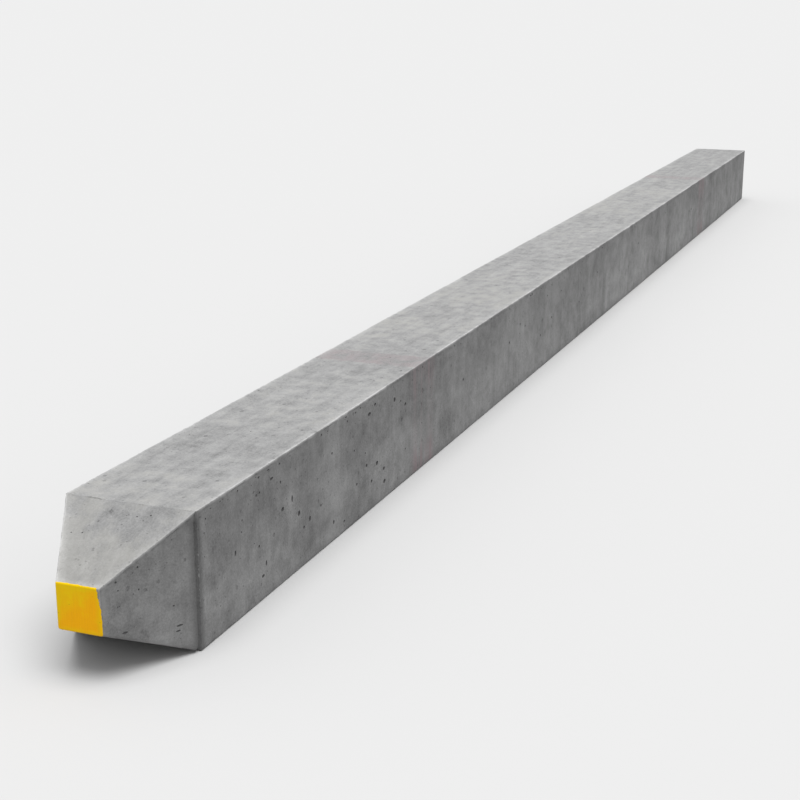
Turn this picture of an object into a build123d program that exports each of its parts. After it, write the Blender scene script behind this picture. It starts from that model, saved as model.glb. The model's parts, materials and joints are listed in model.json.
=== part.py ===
"""Precast concrete mini pile: a square driven pile with a truncated pyramid tip.

Millimetres, +Z up. The pile lies on its underside as it is stored. The X axis runs
along it, from the tip at -X to the head at +X. The origin is on the underside, half
way along and half way across. Three faces are cast against the mould (the underside
and both sides); the top face is the open one, struck off and trowelled.
"""

import os

from build123d import *

# The pile
side = 250.0  # width and depth of the square shaft
length = 6000.0  # overall, tip to head
tip_length = 168.0  # the tapered part, shoulder to tip face
tip_face = 80.0  # width and depth of the flat face that ends the tip

# Arrises: the long edges, in the shaft and down the tip
cast_arris = 4.0  # radius where the mould's corners round the underside
trowelled_arris = 2.0  # radius left by the trowel along the open top face
end_arris = 2.0  # edge of the head, and of the tip face

# Former joint: the notch left where the tip former butts against the mould
joint_width = 9.0  # along the pile
joint_depth = 4.0  # below the three cast faces
joint_root = 2.0  # from the shoulder to the notch's deepest line

# Stations along the pile
head_x = length / 2
tip_x = -length / 2
shoulder_x = tip_x + tip_length
root_x = shoulder_x - joint_root
joint_end_x = shoulder_x - joint_width

# The tip narrows evenly on all four sides, about the shaft's axis
slope = (side - tip_face) / 2 / tip_length
axis_height = side / 2


def inset_at(x):
    """How far the tip has drawn in from the shaft's faces at station x."""
    return slope * (shoulder_x - x)


def section(x, cast_inset, top_inset):
    """The pile's outline at station x, drawn in from the shaft's cast and top faces."""
    width = side - 2 * cast_inset
    depth = side - cast_inset - top_inset
    middle = axis_height + (cast_inset - top_inset) / 2
    with BuildSketch(Plane.YZ.offset(x)) as outline:
        with Locations((0, middle)):
            Rectangle(width, depth)
        fillet(outline.vertices().group_by(Axis.Y)[0], radius=cast_arris)
        fillet(outline.vertices().group_by(Axis.Y)[-1], radius=trowelled_arris)
    return outline.sketch


with BuildPart() as mini_pile:
    # Shaft, one square section from the shoulder to the head
    shaft_outline = section(shoulder_x, 0, 0)
    extrude(shaft_outline, amount=head_x - shoulder_x)

    # Former joint, drawn in on the cast faces only, then back out to the tip's slope
    root_inset = inset_at(root_x)
    joint_end_inset = inset_at(joint_end_x)
    root_outline = section(root_x, root_inset + joint_depth, root_inset)
    joint_end_outline = section(joint_end_x, joint_end_inset, joint_end_inset)

    # Tip, one straight taper down to its flat face
    tip_inset = inset_at(tip_x)
    tip_outline = section(tip_x, tip_inset, tip_inset)
    loft([shaft_outline, root_outline, joint_end_outline, tip_outline], ruled=True)

    # Edges of the two ends
    ends = mini_pile.faces().filter_by(Plane.YZ).sort_by(Axis.X)
    fillet(ends[0].edges() + ends[-1].edges(), radius=end_arris)

mini_pile.part.label = "mini_pile"

os.makedirs("parts", exist_ok=True)
export_step(mini_pile.part, "parts/mini_pile.step")
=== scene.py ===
# %% [markdown]
# # A concrete mini pile
#
# A mini pile is one casting of concrete. Its square shaft ends in a blunt pyramid, the pyramid
# ends in a small flat face, and that face has one coat of yellow marking paint. This lesson
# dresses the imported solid: it models the cast skin with its worn arrises, air holes and chips,
# lays the coat of paint on it and gives both a procedural finish. The frame comes first, because
# every size below is read from it or named as a real size in metres.

# %% The fixed frame
import json
import math
import random
from collections import namedtuple

import bmesh
import bpy
from mathutils import Matrix, Vector

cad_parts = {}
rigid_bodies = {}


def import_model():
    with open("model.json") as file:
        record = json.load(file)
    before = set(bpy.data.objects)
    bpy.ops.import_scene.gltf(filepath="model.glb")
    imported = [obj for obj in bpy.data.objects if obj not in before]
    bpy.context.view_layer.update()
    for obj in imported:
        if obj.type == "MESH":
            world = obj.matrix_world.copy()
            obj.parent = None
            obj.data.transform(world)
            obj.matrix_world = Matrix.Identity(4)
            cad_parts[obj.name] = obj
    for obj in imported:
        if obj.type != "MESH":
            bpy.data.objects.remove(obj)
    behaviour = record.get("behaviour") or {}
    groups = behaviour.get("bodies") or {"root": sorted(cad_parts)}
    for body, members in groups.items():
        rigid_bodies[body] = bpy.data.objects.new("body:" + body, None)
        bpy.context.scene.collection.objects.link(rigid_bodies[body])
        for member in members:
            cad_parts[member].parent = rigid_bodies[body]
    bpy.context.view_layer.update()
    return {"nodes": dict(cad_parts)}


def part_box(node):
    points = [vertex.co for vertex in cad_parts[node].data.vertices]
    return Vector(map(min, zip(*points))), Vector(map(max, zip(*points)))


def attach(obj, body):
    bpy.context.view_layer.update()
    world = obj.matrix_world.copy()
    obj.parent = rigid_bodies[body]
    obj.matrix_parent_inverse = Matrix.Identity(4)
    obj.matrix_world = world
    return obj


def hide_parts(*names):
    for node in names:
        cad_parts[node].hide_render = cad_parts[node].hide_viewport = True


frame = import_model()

# %% Sizes of the pile
low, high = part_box("mini_pile")
side = high.z - low.z
half_side = side / 2
axis_z = (low.z + high.z) / 2
tip_x = low.x
head_x = high.x

cad_corners = [vertex.co for vertex in frame["nodes"]["mini_pile"].data.vertices]
shoulder_x = min(corner.x for corner in cad_corners if abs(corner.y) > half_side - 1e-5)

tip_face = 0.080  # width of the flat end, across its sharp corners
joint_width = 0.009  # of the notch that the tip former's joint leaves before the shoulder
joint_depth = 0.004
joint_root = 0.002  # from the shoulder to the notch's deepest line
cast_arris = 0.004  # radius of the two arrises in the bottom of the mould
trowelled_arris = 0.002  # radius of the two arrises beside the open face
end_arris = 0.002

slope = (side - tip_face) / 2 / (shoulder_x - tip_x)
slope_angle = math.atan(slope)
print(f"section {side:.3f}, length {head_x - tip_x:.3f}, shoulder at {shoulder_x:.3f}")
print(f"the tip's faces lean in by {math.degrees(slope_angle):.1f} degrees")

# %% [markdown]
# ## The camera
#
# The photograph was taken from beside the tip, a little above the pile and close to it, so the
# near end looks large and the shaft runs away fast. A camera's angle on an object is fixed by
# where it stands, so its place is given from the shoulder's near face, as a real distance.
# Turning it and choosing the lens then only frames the whole pile.

# %% Camera
camera_from_shoulder = Vector((-2.009, -1.134, 0.952))
camera_azimuth = math.radians(21.19)  # from +X towards +Y
camera_elevation = math.radians(-15.65)

look = Vector((
    math.cos(camera_elevation) * math.cos(camera_azimuth),
    math.cos(camera_elevation) * math.sin(camera_azimuth),
    math.sin(camera_elevation),
))
camera = bpy.data.objects.new("camera", bpy.data.cameras.new("camera"))
bpy.context.scene.collection.objects.link(camera)
camera.location = Vector((shoulder_x, -half_side, axis_z)) + camera_from_shoulder
camera.rotation_euler = look.to_track_quat("-Z", "Y").to_euler()
camera.data.sensor_width = 36
camera.data.lens = 66.9  # millimetres: the longest that frames the whole pile
camera.data.clip_end = 500
bpy.context.scene.camera = camera
print("camera at", [round(v, 3) for v in camera.location])

# %% [markdown]
# ## The casting's block
#
# The mould is a long trough with a loose steel former for the tip. The block is modelled the same
# way: a box for the shaft, whose end face is then drawn out in three steps. The first goes into
# the notch that the former's joint leaves in the three cast faces, the second comes out of it,
# and the third is the pyramid. An extrusion keeps one clean ring of edges at each station, which
# a separate pyramid joined to a box would not.

# %% Helpers for selecting
def only(*pieces):
    """Leaves these objects selected, the first one active, and nothing else."""
    bpy.ops.object.select_all(action="DESELECT")
    for piece in pieces:
        piece.select_set(True)
    bpy.context.view_layer.objects.active = pieces[0] if pieces else None


def pick_edges(test):
    """Selects the edges, in edit mode, whose middle and extent along the axes pass a test."""
    bpy.ops.mesh.select_mode(type="EDGE")
    bpy.ops.mesh.select_all(action="DESELECT")
    mesh = bmesh.from_edit_mesh(bpy.context.object.data)
    for edge in mesh.edges:
        start, end = (vertex.co for vertex in edge.verts)
        extent = Vector(abs(a - b) for a, b in zip(start, end))
        edge.select_set(test((start + end) / 2, extent))
    bmesh.update_edit_mesh(bpy.context.object.data)


def pick_faces(test):
    """Selects the faces, in edit mode, whose centre and normal pass a test."""
    bpy.ops.mesh.select_mode(type="FACE")
    bpy.ops.mesh.select_all(action="DESELECT")
    mesh = bmesh.from_edit_mesh(bpy.context.object.data)
    for face in mesh.faces:
        face.select_set(test(face.calc_center_median(), face.normal))
    bmesh.update_edit_mesh(bpy.context.object.data)


# %% The shaft as a box
film = 0.0005  # room for the coat of paint before the concrete's flat end
only()
bpy.ops.mesh.primitive_cube_add(
    size=1,
    location=((shoulder_x + head_x) / 2, 0, axis_z),
    scale=(head_x - shoulder_x, side, side),
)
pile = bpy.context.object
pile.name = "cast_pile"
bpy.ops.object.transform_apply(location=True, rotation=True, scale=True)
print("shaft box", [round(v, 3) for v in pile.dimensions])

# %% The notch and the tip, drawn out of the box's end
Section = namedtuple("Section", "x width depth middle")


def section(x, cut=0.0):
    """The outline at station x of the tip. cut is how far the three cast faces lie deeper."""
    inset = slope * (shoulder_x - x)
    width = side - 2 * (inset + cut)
    depth = side - 2 * inset - cut
    return Section(x, width, depth, axis_z + cut / 2)


def draw_out(start, stop):
    """Extrudes the selected end face from one section to the next."""
    step = (stop.x - start.x, 0, stop.middle - start.middle)
    bpy.ops.mesh.extrude_region_move(TRANSFORM_OT_translate={"value": step})
    bpy.ops.transform.resize(
        value=(1, stop.width / start.width, stop.depth / start.depth),
        center_override=(stop.x, 0, stop.middle),
    )


stations = [
    section(shoulder_x),
    section(shoulder_x - joint_root, joint_depth),
    section(shoulder_x - joint_width),
    section(tip_x + film),
]
bpy.ops.object.mode_set(mode="EDIT")
pick_faces(lambda centre, normal: normal.x < -0.9)
for start, stop in zip(stations, stations[1:]):
    draw_out(start, stop)
    print(f"drawn out to {stop.x:.3f}, {stop.width:.3f} wide")

# %% [markdown]
# ## Arrises
#
# No concrete edge is sharp. The bottom corners take the small radius of the mould, the two beside
# the open face are pressed down with a trowel, and the rims of both ends are rubbed off. A bevel
# on the block's long edges makes all of these while there are still few edges to choose from. The
# last digits of a bevel or a cut can differ from run to run, so the vertices are rounded to a fine
# grid after each step, and the next step finds the same edges every time.

# %% Long arrises, then the rims of both ends
arris_steps = 3
settle_grid = 2 ** 17  # steps in a metre, so one is about eight micrometres


def round_off(test, radius):
    """Bevels the edges that pass the test."""
    pick_edges(test)
    bpy.ops.mesh.bevel(offset=radius, segments=arris_steps, profile=0.5, affect="EDGES")


def settle():
    """Rounds each vertex of the mesh in edit mode to the grid."""
    mesh = bmesh.from_edit_mesh(bpy.context.object.data)
    for vertex in mesh.verts:
        vertex.co = [round(value * settle_grid) / settle_grid for value in vertex.co]
    bmesh.update_edit_mesh(bpy.context.object.data)


def settle_object():
    """The same for an object that isn't in edit mode."""
    bpy.ops.object.mode_set(mode="EDIT")
    settle()
    bpy.ops.object.mode_set(mode="OBJECT")


def face_count():
    """How many faces the pile has while it is in edit mode."""
    return len(bmesh.from_edit_mesh(pile.data).faces)


round_off(lambda middle, extent: extent.x > 1e-4 and middle.z < axis_z, cast_arris)
round_off(lambda middle, extent: extent.x > 1e-4 and middle.z > axis_z, trowelled_arris)
round_off(lambda middle, extent: extent.x < 1e-6 and middle.x < tip_x + 2 * film, end_arris)
round_off(lambda middle, extent: extent.x < 1e-6 and middle.x > head_x - 1e-5, end_arris)
settle()
print("block with arrises:", face_count(), "faces")

# %% [markdown]
# ## A net of faces
#
# Relief needs vertices to move. The wide edges across the pile are divided into columns and the
# long ones into rows, which cuts every face into even quads. Three lines are scored along the top
# of both sides, for the ragged lip under the open face. The two flat ends are still single faces
# with many corners, so each is taken out and filled again with a grid. Last, the longer edges are
# halved where the photograph looks from close by: beside the arrises, on the tip and for 0.80 m
# behind the shoulder. The underside lies on the floor and stays coarse.

# %% Columns and rows
columns = 14
tip_rows = 9
shaft_bays = 76  # the shaft is divided twice, because subdivide makes at most 100 cuts
rows_per_bay = 4


def divide(test, parts):
    """Cuts each edge that passes the test into equal parts, and the faces between them."""
    pick_edges(test)
    bpy.ops.mesh.subdivide(number_cuts=parts - 1)
    settle()


divide(lambda middle, extent: extent.x < 1e-6 and extent.length > tip_face / 2, columns)
divide(lambda middle, extent: side > extent.x > side / 2, tip_rows)
divide(lambda middle, extent: extent.x > side, shaft_bays)
divide(lambda middle, extent: extent.x > (head_x - shoulder_x) / shaft_bays / 2, rows_per_bay)
print("columns and rows:", face_count(), "faces")

# %% Lines for the lip under the open face
lip_lines = (0.004, 0.006, 0.012)  # below the open face


def score(depth):
    """Cuts a line into both sides this far below the open face, on the shaft and on the tip."""
    corner = (shoulder_x, 0, high.z - depth)
    down_the_tip = (-math.sin(slope_angle), 0, math.cos(slope_angle))
    pick_faces(lambda centre, normal: centre.x > shoulder_x and abs(normal.y) > 0.8)
    bpy.ops.mesh.bisect(plane_co=corner, plane_no=(0, 0, 1))
    pick_faces(lambda centre, normal: centre.x < shoulder_x and abs(normal.y) > 0.8)
    bpy.ops.mesh.bisect(plane_co=corner, plane_no=down_the_tip)


for depth in lip_lines:
    score(depth)
    settle()
print("with the lip's lines:", face_count(), "faces")


# %% Grids in the two flat ends
def fill_end(test):
    """Replaces one flat end by a grid of quads."""
    pick_faces(test)
    bpy.ops.mesh.delete(type="ONLY_FACE")
    bpy.ops.mesh.select_mode(type="EDGE")
    bpy.ops.mesh.select_non_manifold(extend=False)
    bpy.ops.mesh.fill_grid(span=columns + arris_steps)


fill_end(lambda centre, normal: normal.x < -0.99)
fill_end(lambda centre, normal: normal.x > 0.99)
settle()
print("with both ends filled:", face_count(), "faces")


# %% Finer faces beside the arrises and near the tip
def inside_distances(point):
    """How far a point of the skin lies inside the sharp block's sides, across and in height."""
    half = half_side - slope * max(0.0, shoulder_x - point.x)
    return half - abs(point.y), half - abs(point.z - axis_z)


near_reach = 0.80  # how far behind the shoulder the long edges are halved once
tip_reach = 0.10  # and once more
shoulder_reach = 0.009  # and a third time, to both sides of the shoulder
arris_strip = 0.013  # width of the finer strips beside the arrises
shortest_near = 0.0022
shortest_at_shoulder = 0.0016


def halve(in_reach, shortest):
    """Halves the edges in reach that are longer than this, apart from those of the underside."""

    def is_worth_it(middle, extent):
        on_underside = middle.z < axis_z and inside_distances(middle)[1] < 1e-5
        return in_reach(middle) and extent.length > shortest and not on_underside

    divide(is_worth_it, 2)


divide(lambda middle, extent: extent.x > 0.010 and max(inside_distances(middle)) < arris_strip, 2)
for reach in (near_reach, tip_reach):
    halve(lambda middle: middle.x < shoulder_x + reach, shortest_near)
halve(lambda middle: abs(middle.x - shoulder_x) < shoulder_reach, shortest_at_shoulder)
bpy.ops.mesh.select_all(action="SELECT")
bpy.ops.mesh.normals_make_consistent(inside=False)
bpy.ops.object.mode_set(mode="OBJECT")
print("net of faces:", len(pile.data.polygons))

# %% The notch runs out under the open face
filled_height = 0.020  # the trowel fills the notch from the open face down to here
joint_root_x = shoulder_x - joint_root
joint_end_x = shoulder_x - joint_width


def notch_depth(x):
    """How deep the notch is drawn in at station x."""
    if x > joint_root_x:
        return joint_depth * (shoulder_x - x) / joint_root
    return joint_depth * (x - joint_end_x) / (joint_width - joint_root)


moved = 0
for vertex in pile.data.vertices:
    point = vertex.co
    across, down = inside_distances(point)
    in_notch = joint_end_x < point.x < shoulder_x and point.z > axis_z
    if in_notch and across < notch_depth(point.x) + trowelled_arris and down < filled_height:
        point.y += math.copysign(notch_depth(point.x) * (1 - down / filled_height), point.y)
        moved += 1
print("vertices moved out:", moved)

# %% [markdown]
# ## Relief
#
# A steel mould is flat but not perfect, a trowel leaves shallow waves, and the mortar that it
# pushes to the mould's edge ends in a ragged lip. Arrises crumble a little when the pile is lifted
# out, and so does the concrete on both sides of the former's joint. Each of these is a noise
# pressed into the surface by a Displace modifier. Its middle level is 1, so it only ever presses
# inwards and the pile keeps its size. The two that let the shoulder's line wander sideways go both
# ways. Vertex groups hold each noise to its own place.

# %% Vertex groups: the open face, the arrises, the lip and the notch
def weigh(name, weight_at):
    """Adds a vertex group whose weights come from each vertex's place and normal."""
    group = pile.vertex_groups.new(name=name)
    members = 0
    for vertex in pile.data.vertices:
        weight = weight_at(vertex.co, vertex.normal)
        if weight > 0.01:
            group.add([vertex.index], weight, "REPLACE")
            members += 1
    print(f"{name}: {members} vertices")


arris_reach = 0.007
joint_reach = 0.006


def near_joint(point, normal):
    """Strongest at the root of the former joint, and weak on the open face."""
    weight = 1 - abs(point.x - joint_root_x) / joint_reach
    return weight * (0.08 if normal.z > 0.5 else 1)


def on_open_face(point, normal):
    """Fades out beside the arrises, where the trowel runs on the mould's edge."""
    across = inside_distances(point)[0]
    return max(0.0, normal.z - 0.7) / 0.3 * min(1.0, across / 0.020)


def on_arris(point, normal):
    """Fades out towards both ends and at the joint, whose narrow faces would fold."""
    to_end = min(point.x - tip_x, head_x - point.x)
    to_joint = abs(point.x - joint_root_x) - 0.004
    fade = min(1.0, to_end / 0.030, max(0.0, to_joint / 0.010))
    return (1 - max(inside_distances(point)) / arris_reach) * fade


def under_lip(point, normal):
    """The middle one of the three lines below the open face."""
    if point.z < axis_z or abs(normal.y) < 0.7:
        return 0
    top, middle, bottom = lip_lines
    depth = inside_distances(point)[1]
    return min((depth - top) / (middle - top), (bottom - depth) / (bottom - middle))


weigh("open_face", on_open_face)
weigh("arrises", on_arris)
weigh("shoulder_line", lambda point, normal: 1 - abs(point.x - shoulder_x) / joint_reach)
weigh("joint", near_joint)
weigh("under_lip", under_lip)


# %% Noises pressed into the skin
def cloud(name, size, octaves, contrast=1.0):
    """A soft noise whose lumps are about size metres across."""
    texture = bpy.data.textures.new(name, "CLOUDS")
    texture.noise_scale = size
    texture.noise_depth = octaves
    texture.contrast = contrast
    texture.use_clamp = True
    return texture


def press(texture, depth, group="", direction="NORMAL", level=1.0, stretch=None):
    """Presses a noise up to depth metres into the skin. stretch draws its lumps out along the axes."""
    only(pile)
    relief = pile.modifiers.new(texture.name, "DISPLACE")
    relief.texture = texture
    relief.strength = depth
    relief.mid_level = level
    relief.direction = direction
    relief.vertex_group = group
    relief.texture_coords = "LOCAL"
    guide = None
    if stretch:
        guide = bpy.data.objects.new("guide", None)
        bpy.context.scene.collection.objects.link(guide)
        guide.scale = stretch
        bpy.context.view_layer.update()
        relief.texture_coords = "OBJECT"
        relief.texture_coords_object = guide
    bpy.ops.object.modifier_apply(modifier=relief.name)
    if guide:
        bpy.data.objects.remove(guide)


press(cloud("mould_waves", 0.35, 1), 0.0008)
press(cloud("trowel_waves", 0.05, 2), 0.0024, "open_face", stretch=(3, 1, 1))
press(cloud("trowel_grain", 0.009, 2), 0.0008, "open_face", stretch=(4, 1, 1))
press(cloud("lip", 0.012, 2, contrast=2.6), 0.0018, "under_lip", stretch=(2.5, 1, 1))
press(cloud("arris_wear", 0.007, 2, contrast=2.4), 0.0011, "arrises")
press(cloud("joint_depth", 0.012, 2, contrast=1.8), 0.0010, "joint")
press(cloud("joint_wander", 0.030, 2), 0.0020, "shoulder_line", direction="X", level=0.5)
press(cloud("joint_crumbs", 0.006, 2, contrast=2.0), 0.0011, "shoulder_line", direction="X", level=0.5)
settle_object()
print("skin after relief:", [round(v, 4) for v in pile.dimensions])

# %% [markdown]
# ## The coat of paint
#
# The flat end is painted by hand, so the coat follows the concrete under it and stops in a
# slightly uneven line just past the rim. The brush missed the near top corner, which stays bare.
# The coat is lifted off the pile's own faces: those of the flat end and its rim are duplicated
# into a piece of their own, a bisect cuts off what lies behind the brush's reach and another the
# bare corner, and Solidify gives the rest the thickness of a film. A separate square plate would
# hover or cut in where the concrete is uneven.

# %% Lift the painted faces off the tip
brush_reach = 0.0030  # how far past the flat end the brush came

only(pile)
bpy.ops.object.mode_set(mode="EDIT")
pick_faces(lambda centre, normal: centre.x < tip_x + 4 * brush_reach)
bpy.ops.mesh.duplicate()
bpy.ops.mesh.separate(type="SELECTED")
bpy.ops.object.mode_set(mode="OBJECT")
paint = next(piece for piece in bpy.context.selected_objects if piece != pile)
paint.name = "tip_paint"
paint.vertex_groups.clear()
print("lifted", len(paint.data.polygons), "faces")

# %% Cut the coat's edge and let it wander
tip_apex = Vector((shoulder_x - half_side / slope, 0, axis_z))  # where the tip's four faces would meet

only(paint)
bpy.ops.object.mode_set(mode="EDIT")
bpy.ops.mesh.select_all(action="SELECT")
bpy.ops.mesh.bisect(plane_co=(tip_x + brush_reach, 0, 0), plane_no=(1, 0, 0), clear_outer=True)
bpy.ops.object.mode_set(mode="OBJECT")
for vertex in paint.data.vertices:
    if vertex.co.x > tip_x + brush_reach - 1e-5:
        angle = math.atan2(vertex.co.z - axis_z, vertex.co.y)
        slide = 0.0004 * math.sin(5 * angle + 1) + 0.0003 * math.sin(13 * angle)
        slide = slide + 0.0002 * math.sin(29 * angle)
        vertex.co = tip_apex + (vertex.co - tip_apex) * (1 + slide / (vertex.co.x - tip_apex.x))
print("faces in the brush's reach:", len(paint.data.polygons))

# %% Leave the near top corner bare, as the brush did
missed_top = Vector((tip_x, 0.0048 - tip_face / 2, axis_z + tip_face / 2))
missed_end = Vector((tip_x, -0.0006 - tip_face / 2, axis_z + 0.004))
missed_line = missed_end - missed_top
missed_side = Vector((0, missed_line.z, -missed_line.y)).normalized()  # points out to the bare corner

bpy.ops.object.mode_set(mode="EDIT")
bpy.ops.mesh.select_all(action="SELECT")
bpy.ops.mesh.bisect(plane_co=missed_top, plane_no=missed_side, clear_outer=True)
bpy.ops.object.mode_set(mode="OBJECT")
for vertex in paint.data.vertices:
    if abs((vertex.co - missed_top).dot(missed_side)) < 1e-5:
        vertex.co.y += 0.0006 * math.sin(420 * vertex.co.z + 1) + 0.0004 * math.sin(1100 * vertex.co.z)
print("faces without the bare corner:", len(paint.data.polygons))

# %% Give the coat its thickness
thicken = paint.modifiers.new("film", "SOLIDIFY")
thicken.thickness = film * 0.8
thicken.offset = 1
bpy.ops.object.modifier_apply(modifier=thicken.name)
bpy.ops.object.shade_smooth_by_angle(angle=math.radians(50))
print("coat of paint:", [round(v, 4) for v in paint.dimensions], len(paint.data.polygons), "faces")

# %% [markdown]
# ## Shader sums
#
# The finishes below mix many small effects, and each is a sum of noises and masks. A small class
# wraps a node's socket, so that an ordinary Python sum on it adds the Math nodes, and one method
# adds any other node. This reads like the recipe of the finish, where a list of links would not.

# %% Signal and Finish
class Signal:
    """A socket of a node tree that can be used in Python sums."""

    def __init__(self, finish, socket):
        self.finish = finish
        self.socket = socket

    def __add__(self, other):
        return self.finish.math("ADD", self, other)

    def __sub__(self, other):
        return self.finish.math("SUBTRACT", self, other)

    def __rsub__(self, other):
        return self.finish.math("SUBTRACT", other, self)

    def __mul__(self, other):
        return self.finish.math("MULTIPLY", self, other)

    def __truediv__(self, other):
        return self.finish.math("DIVIDE", self, other)

    __radd__ = __add__
    __rmul__ = __mul__


class Finish:
    """A node tree, written from its output backwards with nodes and sums."""

    def __init__(self, tree):
        self.tree = tree
        self.tree.nodes.clear()

    def node(self, kind, settings=None, sockets=None, output=0):
        """Adds a node: its settings first, then the values or links of its sockets."""
        made = self.tree.nodes.new(kind)
        for name, value in (settings or {}).items():
            setattr(made, name, value)
        for name, value in (sockets or {}).items():
            if isinstance(value, Signal):
                self.tree.links.new(value.socket, made.inputs[name])
            else:
                made.inputs[name].default_value = value
        return Signal(self, made.outputs[output])

    def math(self, operation, first, second):
        return self.node("ShaderNodeMath", {"operation": operation}, {0: first, 1: second})

    def rise(self, value, start, end):
        """0 below start, 1 above end, smooth between them. start may be the higher one."""
        return self.node(
            "ShaderNodeMapRange",
            {"interpolation_type": "SMOOTHSTEP"},
            {"Value": value, "From Min": start, "From Max": end},
        )

    def split(self, vector):
        """The three parts of a vector."""
        parts = self.node("ShaderNodeSeparateXYZ", {}, {0: vector}).socket.node
        return [Signal(self, socket) for socket in parts.outputs]

    def stretch(self, vector, amounts):
        """The vector with each part multiplied."""
        return self.node("ShaderNodeVectorMath", {"operation": "MULTIPLY"}, {0: vector, 1: amounts})

    def noise(self, vector, scale, detail=3.0, rough=0.5, distortion=0.0):
        """A noise around 0, about -0.5 to 0.5."""
        sockets = {"Vector": vector, "Scale": scale, "Detail": detail, "Roughness": rough}
        sockets["Distortion"] = distortion
        return self.node("ShaderNodeTexNoise", {}, sockets) - 0.5

    def pits(self, vector, scale, largest, uneven):
        """1 inside round pits, whose sizes differ from cell to cell and whose rims are uneven."""
        sockets = {"Vector": vector, "Scale": scale}
        distance = self.node("ShaderNodeTexVoronoi", {}, sockets)
        chance = self.node("ShaderNodeTexVoronoi", {}, sockets, output=1)
        size = largest * self.math("POWER", self.split(chance)[0], 2.5)
        return self.rise(distance + uneven, size, 0.55 * size)

    def bar(self, across, up, middle, half_length, half_width, degrees, uneven):
        """1 in a soft bar about a middle, which leans by an angle and whose edge is uneven."""
        turn = math.radians(degrees)
        out, rise = across - middle[0], up - middle[1]
        along = (out * math.cos(turn) + rise * math.sin(turn)) / half_length
        beside = (rise * math.cos(turn) - out * math.sin(turn)) / half_width
        reach = self.math("SQRT", along * along + beside * beside, 0)
        return self.rise(reach + uneven, 1.1, 0.5)

    def shows_background(self):
        """1 for the rays that show a background: seen straight, in a gloss or through glass."""
        rays = self.node("ShaderNodeLightPath").socket.node.outputs
        names = ("Is Camera Ray", "Is Glossy Ray", "Is Transmission Ray")
        straight, gloss, glass = (Signal(self, rays[name]) for name in names)
        return self.math("MAXIMUM", straight, self.math("MAXIMUM", gloss, glass))

    def mix(self, factor, first, second, blend="MIX"):
        """A mix of two colours."""
        settings = {"data_type": "RGBA", "blend_type": blend}
        return self.node("ShaderNodeMix", settings, {0: factor, 6: first, 7: second}, output=2)

    def grey(self, value):
        """A neutral colour of this brightness."""
        return self.node("ShaderNodeCombineColor", {}, {0: value, 1: value, 2: value})

    def shader(self, colour, roughness, height, constants):
        """The surface: height is the relief in metres, and constants are plain socket values."""
        normal = self.node("ShaderNodeBump", {}, {"Strength": 1.0, "Distance": 1.0, "Height": height})
        sockets = {"Base Color": colour, "Roughness": roughness, "Normal": normal, **constants}
        surface = self.node("ShaderNodeBsdfPrincipled", {}, sockets)
        self.node_output(surface)

    def node_output(self, surface):
        made = self.tree.nodes.new("ShaderNodeOutputMaterial")
        self.tree.links.new(surface.socket, made.inputs["Surface"])


def new_finish(name):
    """A new material and the Finish that writes its nodes."""
    material = bpy.data.materials.new(name)
    material.use_nodes = True
    return material, Finish(material.node_tree)


# %% [markdown]
# ## The cast concrete
#
# Seen close, the three cast faces are an even cool grey with cloudy patches, broad upright bands
# and finer streaks where cement water ran down the mould, and pinholes, darkened inside as
# painted shade. The upper part of the shaft's sides is darker as painted shade, and the sides of
# the tip are lighter as painted light. The open face and the top of the tip are lighter, because
# the trowel brings up cement milk. The rims are palest, partly from rubbing and partly as painted
# highlights, and a painted shadow lies under the lip. The notch at the shoulder is darker, partly
# with dirt and partly as painted shade, with a painted highlight in the paler strip behind it.
# Faint reddish stains run down at the two places where the pile is held up in store. A few marks
# lie where the photograph shows them, each a soft bar with an uneven edge. All of it is written on
# Object coordinates, in metres.

# %% Values of the concrete
cast_grey = 0.237
open_grey = 0.316
support_x = 1.77  # distance of the two supports in store from the pile's middle
support_width = 0.09
damp_stain = (0.262, 0.196, 0.206, 1)
warm_dust = (0.365, 0.358, 0.330, 1)

# The middles of the dark patches: behind the shoulder, and in height.
dull_patches = ((0.202, 0.151), (0.497, 0.208), (0.710, 0.197), (0.881, 0.094))
dull_size = (0.021, 0.012)  # half length, half width

# The speckled clusters: the middle behind the shoulder and in height, half length, half width.
speckled = (
    ((0.345, 0.130), 0.080, 0.030),
    ((0.800, 0.212), 0.125, 0.030),
    ((0.775, 0.078), 0.080, 0.042),
)
print("marks placed on the near side:", len(dull_patches) + len(speckled) + 1)


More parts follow.
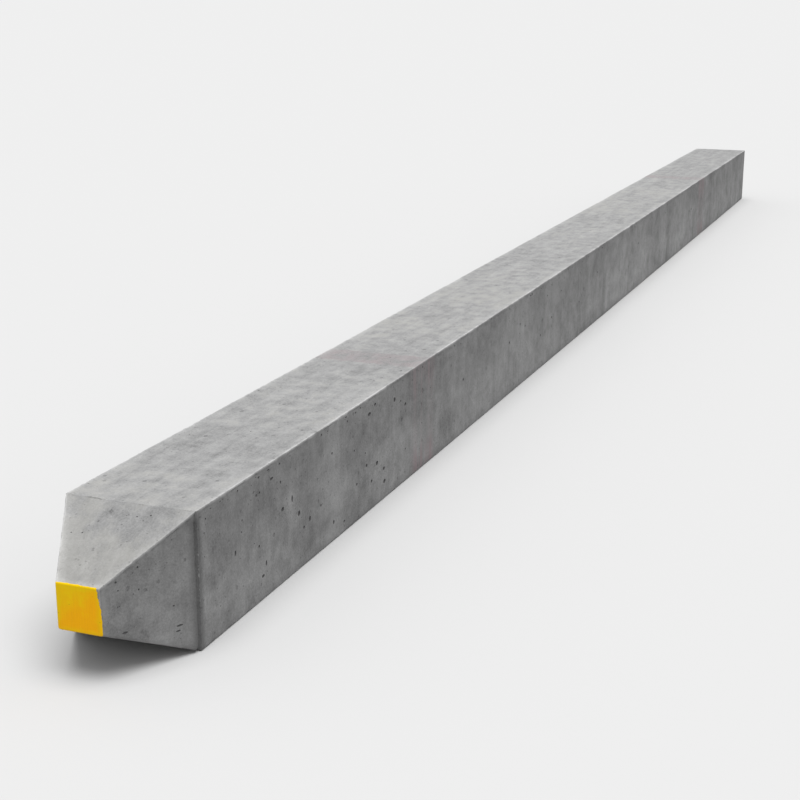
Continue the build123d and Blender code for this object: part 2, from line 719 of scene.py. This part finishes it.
# %% The cast concrete's finish
def cast_concrete():
    """Cast and trowelled concrete, for the pile's whole skin."""
    material, f = new_finish("cast_concrete")
    place = f.node("ShaderNodeTexCoord", {}, {}, output=3)
    x, y, z = f.split(place)
    normal = f.node("ShaderNodeNewGeometry", {}, {}, output=1)
    nx, _, nz = f.split(normal)
    upward = f.rise(nz, 0.6, 0.85)
    upright = 1 - f.rise(f.math("ABSOLUTE", nz, 0), 0.5, 0.8)

    clouds = f.noise(place, 2.6, 3)
    blotches = f.noise(f.stretch(place, (7, 11, 11)), 1, 3, 0.55, 0.6)
    patches = f.noise(place, 24, 4, 0.6)
    grain = f.noise(place, 260, 3, 0.75)
    sand = f.noise(place, 1100, 2, 0.6)
    streaks = f.noise(f.stretch(place, (62, 62, 3.5)), 1, 3, 0.55)
    fine_streaks = f.noise(f.stretch(place, (210, 210, 14)), 1, 2, 0.5)
    bands = f.noise(f.stretch(place, (9, 9, 1.4)), 1, 2, 0.5)
    sweeps = f.noise(f.stretch(place, (5, 46, 46)), 1, 4, 0.6, 0.8)

    pinholes = f.pits(place, 105.0, 0.26, 0.10 * grain)
    specks = f.pits(f.stretch(place, (40, 52, 40)), 1.0, 0.24, 0.34 * patches + 0.16 * grain)

    marks = f.noise(place, 46, 4, 0.68, 0.5)
    bruises = f.rise(marks, 0.10, 0.20)
    scuffs = f.rise(marks, -0.11, -0.22)

    cast_tone = 1 + 0.50 * clouds + 0.84 * blotches + 0.92 * patches + 0.86 * grain + 0.30 * sand
    cast_tone = cast_tone + upright * (0.50 * bands + 0.28 * streaks + 0.16 * fine_streaks)
    cast_tone = cast_tone + 0.13 * scuffs - 0.17 * bruises
    open_tone = 1 + 0.36 * clouds + 0.98 * patches + 0.58 * sweeps + 0.86 * grain + 0.30 * sand
    open_tone = open_tone + 0.08 * scuffs - 0.10 * bruises

    from_shoulder = x - shoulder_x
    wander = f.noise(place, 85, 3, 0.6)
    line_x = from_shoulder + 0.006 * wander
    # The notch is darker, partly with dirt and partly as painted shade in its recess.
    crevice = 0.09 * f.rise(line_x, -0.062, -0.016) + 0.36 * f.rise(line_x, -0.022, -0.005)
    crevice = crevice * f.rise(line_x, 0.0170, 0.0030)
    crack = f.rise(f.math("ABSOLUTE", line_x + 0.008 * wander, 0), 0.0024, 0.0006)
    crack = crack * f.rise(patches + 0.6 * blotches, 0.0, 0.10)
    # A painted highlight: the paler strip just behind the notch, on the shaft's upright faces.
    behind = f.rise(line_x, 0.0120, 0.0200) * f.rise(line_x, 0.046, 0.032)
    below_arris = f.rise(half_side - z + axis_z, 0.004, 0.024)
    crevice = crevice * (0.25 + 0.75 * below_arris) * (1 - upward)
    joint_tone = 1 - crevice * (1 + patches) - 0.42 * crack * upward
    joint_tone = joint_tone + 0.05 * behind * upright

    height_up = z - (axis_z - half_side)
    # Painted shade: the upper part of the upright sides is darker, as if shaded from above.
    painted_upper_shade = f.rise(height_up + 0.09 * blotches, 0.095, 0.215) * upright
    # Painted light: the upright faces of the tip are lighter, as if more light fell on them. With the
    # painted shade above, this makes the broad tone.
    painted_tip_light = f.rise(from_shoulder, -0.030, -0.150) * upright
    broad_painted_light = 1 - 0.130 * painted_upper_shade * f.rise(from_shoulder, -0.030, 0.010) + 0.065 * painted_tip_light

    # Seen in the photograph on the near side: a pale scrape, dark patches and speckled clusters.
    near_side = f.rise(y, -0.10, -0.12)
    scrape = f.bar(from_shoulder, z, (0.303, 0.080), 0.056, 0.013, 55, 0.9 * patches)
    dull = sum(f.bar(from_shoulder, z, spot, *dull_size, 70, 1.2 * patches) for spot in dull_patches)
    clusters = sum(f.bar(from_shoulder, z, *spot, -20, 0.8 * patches) for spot in speckled)
    spots = f.noise(place, 105, 3, 0.7, 0.3)
    speckle = clusters * (0.20 * f.rise(spots, -0.07, -0.17) - 0.28 * f.rise(spots, 0.06, 0.16))
    placed_tone = 1 + near_side * (0.11 * scrape - 0.10 * dull + speckle)

    on_slope = f.rise(from_shoulder, -0.020, -0.110) * upward
    half = half_side - slope * f.math("MAXIMUM", 0 - from_shoulder, 0)
    across = half - f.math("ABSOLUTE", y, 0)
    down = half - f.math("ABSOLUTE", z - axis_z, 0)
    ragged = 0.010 * patches + 0.007 * grain
    # Pale rims: the arrises, the lip under the open face and the rim of the tip are pale, partly as
    # worn concrete and partly as painted highlights, more so on the upper arrises and on faces that
    # look up.
    arris = f.rise(f.math("MAXIMUM", across, down) + ragged, 0.0062, 0.0020)
    above = f.rise(z, axis_z, axis_z + 0.01)
    lip = f.rise(down + 0.016 * patches + 0.012 * grain, 0.0078, 0.0040) * upright * above
    # A painted highlight on the open face beside its arrises, strongest on the top of the tip.
    open_rim_highlight = f.rise(across + 0.040 * patches, 0.024, 0.002) * upward * (1 + 2.0 * on_slope)
    # A painted shadow: a dark band under the lip, where its shade falls.
    under_lip = f.rise(down + 0.010 * grain, 0.0060, 0.0085) * f.rise(down, 0.0200, 0.0100)
    under_lip = under_lip * upright * above
    tip_rim = f.rise(x + ragged, tip_x + 0.014, tip_x + 0.006) * (0.4 + 0.6 * upward)
    # A painted highlight on the slanting faces of the end's rounded rim.
    beside_end = f.rise(f.math("ABSOLUTE", x, 0), head_x - 0.006, head_x - 0.004)
    facing_end = f.math("ABSOLUTE", nx, 0)
    end_rim_highlight = beside_end * f.rise(facing_end, 0.52, 0.68) * f.rise(facing_end, 0.99, 0.94)
    # How pale the rims are varies along them, for the wear and the painted highlights alike.
    wear_and_highlight = 0.55 + 0.90 * f.rise(blotches + 0.9 * patches, -0.10, 0.14)
    pale_rim = wear_and_highlight * (0.36 * arris * (0.40 + 0.60 * above) + 0.26 * lip + 0.16 * open_rim_highlight)
    pale_rim = pale_rim + 0.30 * tip_rim + 0.34 * end_rim_highlight
    # The painted shadow under the lip darkens its band.
    pale_rim = pale_rim - 0.30 * under_lip * f.rise(patches + 0.6 * grain, 0.02, 0.16)

    tones = {0: upward, 2: cast_grey * cast_tone, 3: open_grey * open_tone}
    grey_value = f.node("ShaderNodeMix", {"data_type": "FLOAT"}, tones)
    grey_value = grey_value * joint_tone * broad_painted_light * placed_tone * (1 + pale_rim)
    # Painted shade: the pinholes and specks are darkened inside, as the shade in small pits.
    grey_value = grey_value * (1 - 0.34 * pinholes) * (1 - 0.26 * specks)
    colour = f.grey(grey_value * (1 + 0.09 * on_slope))

    dusty = upward * f.rise(patches + 0.6 * clouds + 0.25 * on_slope, -0.05, 0.30)
    colour = f.mix(0.42 * dusty, colour, warm_dust)

    from_support = f.math("ABSOLUTE", f.math("ABSOLUTE", x, 0) - support_x + 0.03 * streaks, 0)
    at_support = f.rise(from_support, support_width, support_width * 0.45)
    run = at_support * upright * f.rise(streaks + 0.4 * fine_streaks, -0.16, 0.10)
    by_top_or_bottom = f.rise(height_up, 0.150, 0.215) + f.rise(height_up, 0.080, 0.030)
    run = run * (0.30 + 0.85 * by_top_or_bottom)
    mark = f.rise(from_support, support_width * 0.62, support_width * 0.45) * upward
    mark = mark * f.rise(patches, -0.2, 0.2)
    colour = f.mix(0.55 * run + 0.45 * mark, colour, damp_stain)

    height = 0.00022 * grain + 0.00012 * sand + 0.0007 * patches
    height = height + upward * (0.0008 * sweeps) - 0.0005 * pinholes - 0.0010 * specks
    roughness = 0.84 + 0.16 * patches - 0.05 * upward
    f.shader(colour, roughness, height, {"Specular IOR Level": 0.35, "Diffuse Roughness": 0.6})
    return material


# %% The walls of holes, and broken concrete in chips
def hole_wall():
    """The inside of an air hole: dull cement skin, dark as painted shade in the hole."""
    material, f = new_finish("hole_wall")
    place = f.node("ShaderNodeTexCoord", {}, {}, output=3)
    grain = f.noise(place, 520, 3, 0.6)
    # Painted shade: the wall is dark to stand in for the shade inside the hole.
    colour = f.grey(0.110 * (1 + 0.6 * grain))
    f.shader(colour, 0.92 + 0.1 * grain, 0.0002 * grain, {"Specular IOR Level": 0.2})
    return material


def broken_concrete():
    """The fresh break in a chip: rough mortar with cut stones in it."""
    material, f = new_finish("broken_concrete")
    place = f.node("ShaderNodeTexCoord", {}, {}, output=3)
    grain = f.noise(place, 420, 4, 0.7)
    stones = f.node("ShaderNodeTexVoronoi", {}, {"Vector": place, "Scale": 170.0})
    stone = f.rise(stones, 0.42, 0.30)
    tone = 0.245 * (1 + 0.7 * grain) * (1 - 0.22 * stone)
    height = 0.0005 * grain + 0.0003 * stone
    f.shader(f.grey(tone), 0.9 + 0.1 * grain, height, {"Specular IOR Level": 0.25})
    return material


skin_finish = cast_concrete()
hole_finish = hole_wall()
broken_finish = broken_concrete()
pile.data.materials.append(skin_finish)
print("concrete nodes:", len(skin_finish.node_tree.nodes))

# %% [markdown]
# ## Air holes and chips
#
# Air trapped against the mould leaves round holes, from pinholes to the size of a pea. They crowd
# towards the top of the sides, and under the lip they join into small voids. A handling chain
# breaks chips out of the arrises, and crumbs come off along the shoulder. All of them are cut out
# of the skin with a Boolean, because a hole has a crisp rim that a noise on this net of faces
# can't give. One lumpy ball is modelled for the holes and one for the chips, then copied,
# flattened and turned at each place. The larger holes of the near side lie where the photograph
# shows them, and a fixed seed scatters the rest. All the copies joined make a single cutter, so
# one Boolean cuts them together. What it leaves loose under the skin is then taken out.

# %% One lumpy ball for each kind of cut
def lumpy_ball(name, lumpiness, finish, seed):
    """A low ball of 80 faces with its vertices pushed about, as a cutter."""
    only()
    bpy.ops.mesh.primitive_ico_sphere_add(subdivisions=2, radius=1)
    ball = bpy.context.object
    ball.name = name
    bpy.ops.object.mode_set(mode="EDIT")
    bpy.ops.mesh.select_all(action="SELECT")
    bpy.ops.transform.vertex_random(offset=lumpiness, seed=seed)
    bpy.ops.object.mode_set(mode="OBJECT")
    ball.data.materials.append(finish)
    return ball


air_ball = lumpy_ball("air_ball", 0.10, hole_finish, 3)
chip_ball = lumpy_ball("chip_ball", 0.22, broken_finish, 8)
print("faces of a ball:", len(air_ball.data.polygons))

# %% Where the skin is, and how a ball is set in it
left, right = Vector((0, -1, 0)), Vector((0, 1, 0))
under, open_face = Vector((0, 0, -1)), Vector((0, 0, 1))
forward = Vector((-1, 0, 0))


def skin_at(wall, x, across):
    """A point of one wall of the pile, and the way the wall faces there."""
    half = half_side - slope * max(0.0, shoulder_x - x)
    sideways = wall.cross(forward)
    point = Vector((x, 0, axis_z)) + wall * half + sideways * across
    if x >= shoulder_x:
        return point, wall
    return point, wall * math.cos(slope_angle) + forward * math.sin(slope_angle)


def set_ball(ball, point, facing, width, length, depth, spin):
    """A copy of the ball at a point, flattened along the way the skin faces."""
    copy = ball.copy()
    copy.data = ball.data.copy()
    turn = facing.to_track_quat("Z", "Y").to_matrix().to_4x4() @ Matrix.Rotation(spin, 4, "Z")
    copy.matrix_world = Matrix.Translation(point) @ turn @ Matrix.Diagonal((width, length, depth, 1))
    bpy.context.scene.collection.objects.link(copy)
    return copy


# %% Scatter the air holes
chance = random.Random(41)
cutters = []
taken = []


def is_free(point, radius):
    """True if a hole of this radius would touch no other."""
    return all((point - other).length > radius + reach + 0.0006 for other, reach in taken)


def scatter(count, wall, start, stop, largest, upper=False):
    """Sets air holes at random in one wall between two stations. upper crowds them to its top."""
    for _ in range(count):
        x = chance.uniform(start, stop)
        half = half_side - slope * max(0.0, shoulder_x - x) - 0.008
        share = chance.uniform(-1, 1)
        if upper:
            share = 1 - 1.6 * chance.random() ** 1.5
        radius = 0.0011 + (largest - 0.0011) * chance.random() ** 3
        lift = share * half * (1 if wall.cross(forward).z >= 0 else -1)
        point, facing = skin_at(wall, x, lift)
        if not is_free(point, radius):
            continue
        taken.append((point, radius))
        width = radius * chance.uniform(0.8, 1.1)
        depth = radius * chance.uniform(0.6, 0.9) + 0.0006
        spin = chance.uniform(0, math.tau)
        cutters.append(set_ball(air_ball, point, facing, width, radius, depth, spin))


tip_start = tip_x + 0.010
tip_stop = shoulder_x - joint_width - 0.006
shaft_start = shoulder_x + 0.008
shaft_stop = head_x - 0.012
near_stop = shoulder_x + near_reach
near_size = 1.2  # the sizes below are of the holes' dark middles

# Seen in the photograph on the near side: behind the shoulder, above the underside, and the
# hole's half length and half height.
near_holes = (
    (0.320, 0.145, 0.0050, 0.0038),
    (0.390, 0.113, 0.0042, 0.0050),
    (0.438, 0.086, 0.0036, 0.0048),
    (0.411, 0.078, 0.0032, 0.0030),
    (0.361, 0.152, 0.0027, 0.0060),
    (0.130, 0.128, 0.0028, 0.0046),
    (0.248, 0.066, 0.0026, 0.0046),
    (0.234, 0.046, 0.0048, 0.0026),
    (0.277, 0.218, 0.0062, 0.0024),
    (0.551, 0.040, 0.0030, 0.0040),
    (0.604, 0.024, 0.0044, 0.0022),
    (0.741, 0.213, 0.0070, 0.0036),
    (0.773, 0.226, 0.0046, 0.0030),
    (0.885, 0.207, 0.0052, 0.0046),
    (0.950, 0.180, 0.0048, 0.0034),
    (0.724, 0.106, 0.0040, 0.0034),
    (0.782, 0.094, 0.0056, 0.0042),
    (0.821, 0.070, 0.0044, 0.0036),
    (0.751, 0.063, 0.0040, 0.0030),
    (0.824, 0.040, 0.0058, 0.0040),
    (-0.129, 0.078, 0.0046, 0.0018),
    (-0.037, 0.060, 0.0056, 0.0016),
    (-0.040, 0.051, 0.0040, 0.0015),
)
for behind, above, length, height in near_holes:
    point, facing = skin_at(left, shoulder_x + behind, axis_z - low.z - above)
    length, height = near_size * length, near_size * height
    depth = 0.8 * min(length, height) + 0.0006
    taken.append((point, length))
    cutters.append(set_ball(air_ball, point, facing, length, height, depth, 0))

for wall in (left, right):
    scatter(8, wall, tip_start, tip_stop, 0.0024, upper=True)
    scatter(46, wall, shaft_start, near_stop, 0.0034, upper=True)
    scatter(90, wall, near_stop, shaft_stop, 0.0046, upper=True)
scatter(8, open_face, tip_start, tip_stop, 0.0024)
scatter(18, open_face, shaft_start, near_stop, 0.0030)
scatter(40, open_face, near_stop, shaft_stop, 0.0040)
scatter(12, under, tip_start, tip_stop, 0.0030)
scatter(50, under, shaft_start, shaft_stop, 0.0040)
print("air holes:", len(cutters))

# %% Chips out of the arrises
arris_chips = 26


def set_chip(wall, beside, x, size):
    """Breaks a chip out of the arris between two walls."""
    half = half_side - slope * max(0.0, shoulder_x - x)
    point = Vector((x, 0, axis_z)) + (wall + beside) * (half + 0.25 * size)
    facing = (wall + beside).normalized()
    if not is_free(point, size * 1.5):
        return
    taken.append((point, size * 1.5))
    stretch = chance.uniform(1.0, 2.2)
    spin = chance.uniform(-0.3, 0.3)
    cutters.append(set_ball(chip_ball, point, facing, size * 0.8, size * stretch, size * 0.7, spin))


near_chips = (0.118, 0.236, 0.402, 0.655, 1.020, 1.480)  # behind the shoulder, on the near top arris
for behind in near_chips:
    set_chip(left, open_face, shoulder_x + behind, chance.uniform(0.0026, 0.0046))
for _ in range(arris_chips):
    wall = chance.choice((left, right))
    beside = chance.choice((open_face, open_face, under))
    size = 0.0022 + 0.0050 * chance.random() ** 2
    set_chip(wall, beside, chance.uniform(tip_start, shaft_stop), size)
print("cutters:", len(cutters))

# %% Voids under the lip, and crumbs along the shoulder
lip_voids = 120
shoulder_crumbs = 9

for _ in range(lip_voids):
    wall = chance.choice((left, right))
    x = shoulder_x + (shaft_stop - shoulder_x) * chance.random() ** 1.4 + 0.01
    depth = chance.uniform(0.006, 0.016)
    point, facing = skin_at(wall, x, (half_side - depth) * (1 if wall.cross(forward).z > 0 else -1))
    size = chance.uniform(0.0012, 0.0028)
    if is_free(point, size):
        taken.append((point, size))
        tall = size * chance.uniform(0.5, 0.9)
        cutters.append(set_ball(air_ball, point, facing, size * chance.uniform(1, 2.2), tall, tall, 0))

for wall in (left, right, under):
    for _ in range(shoulder_crumbs):
        point, facing = skin_at(wall, shoulder_x, chance.uniform(-0.9, 0.9) * half_side)
        size = chance.uniform(0.0012, 0.0028)
        length = size * chance.uniform(1, 2.5)
        cutters.append(set_ball(chip_ball, point, facing, size, length, size * 0.8, 0))
print("cutters with voids and crumbs:", len(cutters))

# %% Air holes in the head's end, and chips off its rim
head_holes = 16
head_chips = (left, right, open_face, open_face, under)  # the wall beside each chip

for _ in range(head_holes):
    reach = 0.9 * half_side
    point = Vector((head_x, chance.uniform(-reach, reach), axis_z + chance.uniform(-reach, reach)))
    radius = 0.0012 + 0.0028 * chance.random() ** 2
    if is_free(point, radius):
        taken.append((point, radius))
        length = radius * chance.uniform(0.8, 1.2)
        cutters.append(set_ball(air_ball, point, -forward, radius, length, 0.8 * radius + 0.0006, 0))

for wall in head_chips:
    size = chance.uniform(0.0018, 0.0042)
    aside = wall.cross(forward) * chance.uniform(-0.85, 0.85) * half_side
    point = Vector((head_x + 0.25 * size, 0, axis_z)) + wall * (half_side + 0.25 * size) + aside
    facing = (wall - forward).normalized()
    cutters.append(set_ball(chip_ball, point, facing, 1.3 * size, 1.1 * size, 0.8 * size, 0))
print("cutters with the head's:", len(cutters))

# %% Cut them all at once
only(*cutters)
bpy.ops.object.join()
cutter = bpy.context.object
cutter.name = "cutter"
bpy.ops.object.transform_apply(location=True, rotation=True, scale=True)
settle_object()

only(pile)
cut = pile.modifiers.new("holes", "BOOLEAN")
cut.operation = "DIFFERENCE"
cut.object = cutter
cut.solver = "MANIFOLD"
cut.material_mode = "TRANSFER"
bpy.ops.object.modifier_apply(modifier=cut.name)
for spent in (cutter, air_ball, chip_ball):
    bpy.data.objects.remove(spent)
pile.vertex_groups.clear()
print("after the cut:", len(pile.data.polygons), "faces")

# %% Take out what the cut left loose under the skin
bpy.ops.object.mode_set(mode="EDIT")
pick_faces(lambda centre, normal: centre.x > head_x - end_arris and normal.x > 0.99)
bpy.ops.mesh.select_linked()
bpy.ops.mesh.select_all(action="INVERT")
print("loose faces:", sum(face.select for face in bmesh.from_edit_mesh(pile.data).faces))
bpy.ops.mesh.delete(type="VERT")
bpy.ops.object.mode_set(mode="OBJECT")

# %% Smooth skin, crisp rims
bpy.ops.object.shade_smooth_by_angle(angle=math.radians(40))
bpy.ops.object.mode_set(mode="EDIT")
bpy.ops.mesh.select_mode(type="FACE")
bpy.ops.mesh.select_all(action="DESELECT")
for slot in range(1, len(pile.data.materials)):
    pile.active_material_index = slot
    bpy.ops.object.material_slot_select()
bpy.ops.mesh.region_to_loop()
bpy.ops.mesh.mark_sharp()
bpy.ops.object.mode_set(mode="OBJECT")
pile.data.calc_loop_triangles()
print("pile:", len(pile.data.polygons), "faces,", len(pile.data.loop_triangles), "triangles")
print("finishes:", [material.name for material in pile.data.materials])

# %% [markdown]
# ## The yellow coat
#
# The marking paint is one brushed coat of a thick, semi-matt yellow. It is more orange where it
# lies thick in the middle and more lemon where the brush ran out at the rim, it shows the
# brush's upright strokes, and the concrete's grain comes through as small dark pits.

# %% The paint's finish
thick_yellow = (0.98, 0.465, 0.001, 1)
thin_yellow = (0.87, 0.575, 0.001, 1)


def brushed_paint():
    """One brushed coat of yellow marking paint on concrete."""
    material, f = new_finish("yellow_marking_paint")
    place = f.node("ShaderNodeTexCoord", {}, {}, output=3)
    _, y, z = f.split(place)
    strokes = f.noise(f.stretch(place, (300, 420, 26)), 1, 3, 0.6, 0.4)
    patches = f.noise(place, 48, 3, 0.6)
    grain = f.noise(place, 620, 3, 0.6)
    pits = f.pits(place, 150.0, 0.22, 0.10 * grain)
    reach = f.math("MAXIMUM", f.math("ABSOLUTE", y, 0), f.math("ABSOLUTE", z - axis_z, 0))
    thin = 0.6 * f.rise(reach + 0.012 * patches, tip_face * 0.36, tip_face * 0.5)
    thin = thin + 0.8 * f.rise(z - axis_z + 0.7 * y + 0.035 * patches, -0.012, 0.040)
    thin = thin + 0.35 * f.rise(patches + 0.5 * strokes, 0.0, 0.30)
    colour = f.mix(thin, thick_yellow, thin_yellow)
    shade = 1 + 0.16 * strokes + 0.12 * patches - 0.35 * pits
    colour = f.mix(1.0, colour, f.grey(shade), blend="MULTIPLY")
    height = 0.00022 * strokes + 0.00008 * grain + 0.00025 * patches - 0.0003 * pits
    roughness = 0.46 + 0.25 * patches + 0.2 * strokes
    f.shader(colour, roughness, height, {"Specular IOR Level": 0.12})
    return material


paint.data.materials.clear()
paint.data.materials.append(brushed_paint())

# %% [markdown]
# ## Floor, light and background
#
# A pale floor and a soft light from overhead stand in for a studio. One wide sun gives the light
# its direction and the world fills the rest, so the top of the pile is clearly brighter than its
# sides, as under a cloudy sky. Light Path tells apart the rays that show the background, straight
# or in a gloss, from those that carry light. The floor and the world are pale to the first, and
# send less light to the others, because a white floor would wash out the sides.

# %% Floor
floor_seen = 0.62
floor_bounce = 0.42
floor_size = 420
floor_gap = 0.0003  # under the pile, so that the two faces don't coincide

only()
bpy.ops.mesh.primitive_plane_add(size=floor_size, location=(0, 0, low.z - floor_gap))
floor = bpy.context.object
floor.name = "floor"
floor_material, f = new_finish("pale_floor")
floor_colour = f.grey(floor_bounce + (floor_seen - floor_bounce) * f.shows_background())
f.node_output(f.node("ShaderNodeBsdfDiffuse", {}, {"Color": floor_colour}))
floor.data.materials.append(floor_material)
print("floor:", floor_size, "metres wide")

# %% Sun and world
sun_direction = Vector((-0.12, -0.15, 0.98)).normalized()  # from the pile towards the light
sun = bpy.data.objects.new("sun", bpy.data.lights.new("sun", "SUN"))
bpy.context.scene.collection.objects.link(sun)
sun.rotation_euler = sun_direction.to_track_quat("Z", "Y").to_euler()
sun.data.energy = 2.55
sun.data.angle = math.radians(50)

fill_light = 0.60  # the world's strength for the rays that carry light
background = 0.87  # and for those that show it
world = bpy.data.worlds.new("soft_box")
bpy.context.scene.world = world
world.use_nodes = True
w = Finish(world.node_tree)
strength = fill_light + (background - fill_light) * w.shows_background()
surface = w.node("ShaderNodeBackground", {}, {"Color": (1, 1, 1, 1), "Strength": strength})
world_output = world.node_tree.nodes.new("ShaderNodeOutputWorld")
world.node_tree.links.new(surface.socket, world_output.inputs["Surface"])
bpy.context.scene.view_settings.view_transform = "Standard"
print("sun", round(sun.data.energy, 2), "and world", fill_light)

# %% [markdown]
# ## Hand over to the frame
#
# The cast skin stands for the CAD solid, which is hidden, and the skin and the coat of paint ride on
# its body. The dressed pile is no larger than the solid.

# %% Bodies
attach(pile, "root")
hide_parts("mini_pile")
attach(paint, "root")
